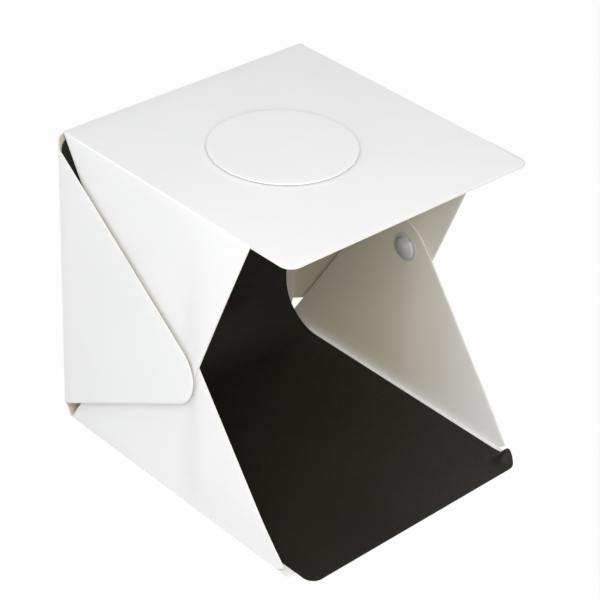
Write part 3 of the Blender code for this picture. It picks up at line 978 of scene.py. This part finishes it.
def make_cap(side, name):
    """Smooth milky dome on a thin flange, hollow over its magnet."""
    node = name + "_magnet_cap"
    radius, crown, room_radius, room_height = holder_sizes(node, name + "_magnet")
    foot = radius - CAP_FLANGE
    shoulder = foot - CAP_DRAFT
    rise = crown - room_height
    dome = (shoulder**2 + rise**2) / (2 * rise)
    profile = [(0, room_height), (room_radius, room_height), (room_radius, 0), (radius, 0)]
    profile += [(radius, CAP_FLANGE_THICKNESS), (foot, CAP_FLANGE_THICKNESS)]
    for step in range(DOME_STEPS):
        reach = shoulder * (1 - step / DOME_STEPS)
        profile.append((reach, crown - dome + sqrt(dome**2 - reach**2)))
    profile.append((0, crown))
    add_holder(side, node, name + "_cap", profile, CAP_EASE, name + "_lower")


def make_cup(side, name):
    """Shallow plastic cup that holds the keeper disc."""
    node = name + "_keeper_cup"
    radius, depth, room_radius, room_depth = holder_sizes(node, name + "_keeper_disc")
    profile = [(0, room_depth), (room_radius, room_depth), (room_radius, 0), (radius, 0)]
    profile += [(radius, depth), (0, depth)]
    add_holder(side, node, name + "_cup", profile, CUP_EASE, name + "_back")


def disc_profile(radius, height, ease, band=0.0):
    """Profile of a coin-like disc from z = 0, both faces flat, both rims eased.

    A band adds a ring on each face that far in from the rim, which keeps the face's shading flat.
    """
    profile = eased([(0, 0), (radius, 0), (radius, height), (0, height)], ease)
    if band > 0:
        profile.insert(1, (radius - band, 0))
        profile.insert(-1, (radius - band, height))
    return profile


def make_disc(slot, node, name, carrier, axis, ease, steps=TURN_STEPS, band=0.0):
    """Disc that fills a packed cylinder, with eased rims."""
    low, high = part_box(node)
    axis = Vector(axis)
    size = high - low
    height = abs(size.dot(axis))
    radius = max(size) / 2
    base = (low + high) / 2 - axis * height / 2
    body = turned(disc_profile(radius, height, ease, band), base, axis, steps)
    add_rigid(slot, name, body, node, carrier)


def make_catches():
    """Magnets, caps, keeper discs and keeper cups of both sides."""
    for side, name in SIDES:
        make_cap(side, name)
        inward = (-side, 0, 0)
        for disc, new_name, carrier in (
            ("_magnet", "_disc_magnet", "_lower"),
            ("_keeper_disc", "_keeper", "_back"),
        ):
            names = (name + disc, name + new_name, name + carrier)
            make_disc("nickel_steel", *names, inward, DISC_EASE)
        make_cup(side, name)


def make_studs():
    for _, name in SIDES:
        make_stud_front(name)
        make_stud_rear(name)


def make_stud_front(name):
    """Dished cap of a press stud, with the post that goes through the backdrop."""
    low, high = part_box(name + "_stud_cap")
    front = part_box("backdrop_sheet")[1].y - BACKDROP_SHEET - BOND_GAP
    centre = middle(name + "_stud_cap")
    centre.y = front
    radius = (high.x - low.x) / 2
    post_end = high.y - front
    face = front - low.y
    profile = [(0, -post_end), (STUD_POST_RADIUS, -post_end), (STUD_POST_RADIUS, 0), (radius, 0)]
    profile += [(radius, face / 2), (radius - face / 2, face), (radius * STUD_RING_SHARE, face)]
    profile += [(radius * STUD_DISH_SHARE, face - STUD_DISH), (0, face - STUD_DISH)]
    body = turned(eased(profile, STUD_EASE), centre, (0, -1, 0))
    add_rigid("stud_plastic", name + "_stud_front", body, name + "_stud_cap", "back")


def make_stud_rear(name):
    """Dished socket of a press stud behind the panel."""
    low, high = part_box(name + "_stud_socket")
    centre = middle(name + "_stud_cap")
    centre.y = low.y
    radius = (high.x - low.x) / 2
    depth = high.y - low.y
    room = STUD_POST_RADIUS + STUD_FIT
    room_end = depth / 2 + STUD_FIT
    profile = [(0, room_end), (room, room_end), (room, 0), (radius, 0), (radius, depth / 2)]
    profile += [(radius - depth / 2, depth), (radius * STUD_DISH_SHARE, depth)]
    profile += [(radius * STUD_DISH_SHARE - STUD_DISH, depth - STUD_DISH), (0, depth - STUD_DISH)]
    body = turned(eased(profile, STUD_EASE), centre, (0, 1, 0))
    add_rigid("stud_plastic", name + "_stud_rear", body, name + "_stud_socket", "back")


def make_cover():
    make_disc(
        "white_sheet", "window_cover", "cover_disc", "cover",
        (0, 0, 1), COVER_EASE, COVER_STEPS, EDGE_BAND,
    )


def add_fibre(body, path):
    """Closed thin tube along a few points, added to a mesh."""
    ring = [Vector((x, y, 0)) for x, y in circle((0, 0), FIBRE_RADIUS, FIBRE_SIDES)]
    rings = []
    for index, point in enumerate(path):
        ahead = (path[min(index + 1, len(path) - 1)] - path[max(index - 1, 0)]).normalized()
        turn = Vector((0, 0, 1)).rotation_difference(ahead)
        rings.append([body.verts.new(point + turn @ offset) for offset in ring])
    skin(body, rings)
    body.faces.new(rings[0])
    body.faces.new(rings[-1])


def fibre_path(root, lean, height, crook):
    """Arc that rises by height from its root and comes down beside it as far as crook says."""
    path = []
    for step in range(FIBRE_STEPS + 1):
        turn = pi * crook * step / FIBRE_STEPS
        rise = Vector((0, 0, height * sin(turn)))
        path.append(root + lean * (1 - cos(turn)) / 2 + rise)
    return path


def make_coin(node, name, carrier, up, crook):
    """Fastener coin: a thin base with a field of small hooks (crook below 1) or closed loops."""
    low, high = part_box(node)
    radius = (high.x - low.x) / 2
    height = high.z - low.z
    base = middle(node)
    base.z = low.z if up > 0 else high.z
    plate = height * COIN_BASE_SHARE
    body = turned(disc_profile(radius, plate, plate / 3), base, (0, 0, up), COIN_STEPS)
    count = int(radius / FIBRE_PITCH)
    for row in range(-count, count + 1):
        for column in range(-count, count + 1):
            x = (column + (row % 2) / 2) * FIBRE_PITCH
            y = row * FIBRE_PITCH
            if hypot(x, y) > radius - FIBRE_PITCH:
                continue
            heading = FIBRE_TURN * (row * 3 + column * 5)
            lean = Vector((cos(heading), sin(heading), 0)) * FIBRE_SPAN
            root = base + Vector((x, y, up * (plate - FIBRE_RADIUS)))
            add_fibre(body, fibre_path(root, lean, up * (height - plate), crook))
    add_rigid("coin_felt", name, body, node, carrier)


def make_coins():
    """Loop coins on the top panel and hook coins under the cover."""
    for index in range(1, COIN_COUNT + 1):
        number = str(index)
        make_coin("loop_coin_" + number, "loop_field_" + number, "top", 1, LOOP_TURN)
        make_coin("hook_coin_" + number, "hook_field_" + number, "cover", -1, HOOK_TURN)


# Light strip

def rounded_block(low, high, ease, segments=BLOCK_EASE_STEPS):
    """Block between two corners with eased edges."""
    body = bmesh.new()
    bmesh.ops.create_cube(body, size=1)
    size = high - low
    for vert in body.verts:
        vert.co = Vector([low[i] + (vert.co[i] + 0.5) * size[i] for i in range(3)])
    geom = list(body.edges) + list(body.verts)
    bmesh.ops.bevel(body, geom=geom, offset=ease, segments=segments, profile=0.5, affect="EDGES")
    return body


def make_chip(node, name):
    """Light chip: pale case, sloping reflector rim and a slightly domed yellow lens."""
    body = rounded_block(*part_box(node), CHIP_EASE)
    large = [face for face in body.faces if face.calc_area() > CHIP_FACE_AREA]
    face = min(large, key=lambda face: face.calc_center_median().z)
    bmesh.ops.inset_region(body, faces=[face], thickness=CHIP_RIM, depth=0.0)
    bmesh.ops.inset_region(body, faces=[face], thickness=CHIP_RIM / 3, depth=-CHIP_RECESS)
    face.material_index = 1
    lens = bmesh.ops.inset_region(body, faces=[face], thickness=CHIP_RIM, depth=CHIP_RECESS / 2)
    for ring in lens["faces"]:
        ring.material_index = 1
    thing = finished(name, body, [looks["white_board"], looks["light_chip"]], node)
    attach(thing, "top")


def inlet_ring(low, high):
    """Outline of the inlet's shell: a rounded block with slanted lower corners."""
    slant = (high.z - low.z) * INLET_SLANT_SHARE
    corners = [(high.y, high.z), (low.y, high.z), (low.y, low.z + slant), (low.y + slant, low.z)]
    corners += [(high.y - slant, low.z), (high.y, low.z + slant)]
    return closed_eased(corners, INLET_EASE)


def inlet_tongue(low, high):
    """Mesh of the contact tongue that stands in the inlet's mouth."""
    side = (high.y - low.y) * TONGUE_SHARE
    centre_z = (low.z + high.z) / 2
    half = TONGUE_THICKNESS / 2
    near = Vector((low.x + INLET_BACK_WALL + WELD, low.y + side, centre_z - half))
    far = Vector((high.x - TONGUE_SETBACK, high.y - side, centre_z + half))
    return as_mesh("tongue", rounded_block(near, far, TONGUE_THICKNESS / 4))


def make_inlet():
    """Power inlet: a folded steel shell with its mouth to the right and a tongue in it."""
    low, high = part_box("inlet_socket")
    ring = inlet_ring(low, high)
    centre_y, centre_z = (low.y + high.y) / 2, (low.z + high.z) / 2
    wall_y = 1 - 2 * INLET_WALL / (high.y - low.y)
    wall_z = 1 - 2 * INLET_WALL / (high.z - low.z)
    inner = [
        (centre_y + (y - centre_y) * wall_y, centre_z + (z - centre_z) * wall_z) for y, z in ring
    ]
    lip = high.x - INLET_WALL / 2
    stations = [(low.x, ring), (lip, ring), (high.x, half_way(ring, inner)), (lip, inner)]
    stations.append((low.x + INLET_BACK_WALL, inner))
    body = bmesh.new()
    rings = [[body.verts.new((x, y, z)) for y, z in points] for x, points in stations]
    skin(body, rings)
    body.faces.new(rings[0])
    body.faces.new(rings[-1])
    shell_faces = len(body.faces)
    tongue = inlet_tongue(low, high)
    body.from_mesh(tongue)
    bpy.data.meshes.remove(tongue)
    body.faces.ensure_lookup_table()
    for face in body.faces[shell_faces:]:
        face.material_index = 1
    materials = [looks["nickel_steel"], looks["dark_plastic"]]
    thing = finished("inlet_shell", body, materials, "inlet_socket")
    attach(thing, "top")


def half_way(one, two):
    """Loop midway between two loops of as many points."""
    return [((ay + by) / 2, (az + bz) / 2) for (ay, az), (by, bz) in zip(one, two)]


def closed_eased(corners, radius):
    """Closed loop with rounded corners, which starts halfway along its last side."""
    start = tuple((a + b) / 2 for a, b in zip(corners[-1], corners[0]))
    return eased([start] + corners + [start], radius)[:-1]


def make_strip():
    """Light strip under the top panel's lip: tape, board, chips and inlet."""
    tape = rounded_block(*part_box("strip_tape"), TAPE_EASE, TAPE_EASE_STEPS)
    add_rigid("foam_tape", "tape", tape, "strip_tape", "top")
    board = rounded_block(*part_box("strip_board"), BOARD_EASE)
    add_rigid("white_board", "board", board, "strip_board", "top")
    for index in range(1, CHIP_COUNT + 1):
        number = str(index).zfill(2)
        make_chip("light_chip_" + number, "lamp_" + number)
    make_inlet()


# Stage, light and camera

def make_stage():
    """Pale floor that looks white and keeps a little of the object's shadow."""
    body = bmesh.new()
    bmesh.ops.create_grid(body, x_segments=1, y_segments=1, size=FLOOR_HALF)
    floor = new_object("floor", as_mesh("floor", body))
    floor.location.z = -FLOOR_DROP
    look = Shader("floor")
    look.set(Base_Color=FLOOR_COLOUR, Roughness=FLOOR_ROUGHNESS, Specular_IOR_Level=0.0)
    white = look.add("Emission", {"Color": WHITE})
    look.blend_with(white.outputs["Emission"], look.seen_white(FLOOR_WHITE_SHARE))
    floor.data.materials.append(look.material)


def make_world():
    """Soft light from all around, stronger from the bright side, seen as plain white."""
    world = bpy.data.worlds.new("studio")
    bpy.context.scene.world = world
    world.use_nodes = True
    tree = Nodes(world.node_tree)
    place = tree.add("TexCoord").outputs["Generated"]
    side = {0: place, 1: Vector(WORLD_BRIGHT_SIDE).normalized()}
    toward = tree.add("VectorMath", side, operation="DOT_PRODUCT").outputs["Value"]
    levels = {"From Min": WORLD_SPREAD, "To Min": WORLD_DIM, "To Max": WORLD_BRIGHT}
    strength = tree.add("MapRange", {"Value": toward, **levels}).outputs["Result"]
    light = tree.nodes["Background"]
    tree.fill(light.inputs["Color"], WHITE)
    tree.fill(light.inputs["Strength"], strength)
    white = tree.add("Background", {"Color": WHITE, "Strength": 1.0})
    both = (light.outputs["Background"], white.outputs["Background"])
    tree.blended("World Output", *both, tree.seen_white(1.0))


def make_key():
    """Large soft lamp to the left of the camera."""
    lamp = bpy.data.lights.new("key", "AREA")
    lamp.size = KEY_SIZE
    lamp.energy = KEY_POWER
    thing = new_object("key", lamp)
    thing.location = KEY_PLACE
    thing.rotation_mode = "QUATERNION"
    thing.rotation_quaternion = (Vector(KEY_AIM) - Vector(KEY_PLACE)).to_track_quat("-Z", "Y")


def make_camera():
    """Camera turned by azimuth and elevation round its target and rolled about its own axis."""
    data = bpy.data.cameras.new("camera")
    data.sensor_width = SENSOR_MM
    data.lens = CAMERA_FOCAL_PIXELS / PICTURE_PIXELS * SENSOR_MM
    data.clip_start, data.clip_end = CAMERA_CLIP
    camera = new_object("camera", data)
    azimuth = Matrix.Rotation(CAMERA_AZIMUTH, 4, "Z")
    elevation = Matrix.Rotation(pi / 2 - CAMERA_ELEVATION, 4, "X")
    turn = azimuth @ elevation @ Matrix.Rotation(CAMERA_ROLL, 4, "Z")
    place = CAMERA_TARGET + turn @ Vector((0, 0, CAMERA_DISTANCE))
    camera.matrix_world = Matrix.Translation(place) @ turn
    bpy.context.scene.camera = camera


make_panels()
make_flaps()
make_backdrop()
make_cover()
make_coins()
make_catches()
make_studs()
make_strip()

bpy.context.scene.view_settings.view_transform = "Standard"
make_stage()
make_world()
make_key()
make_camera()
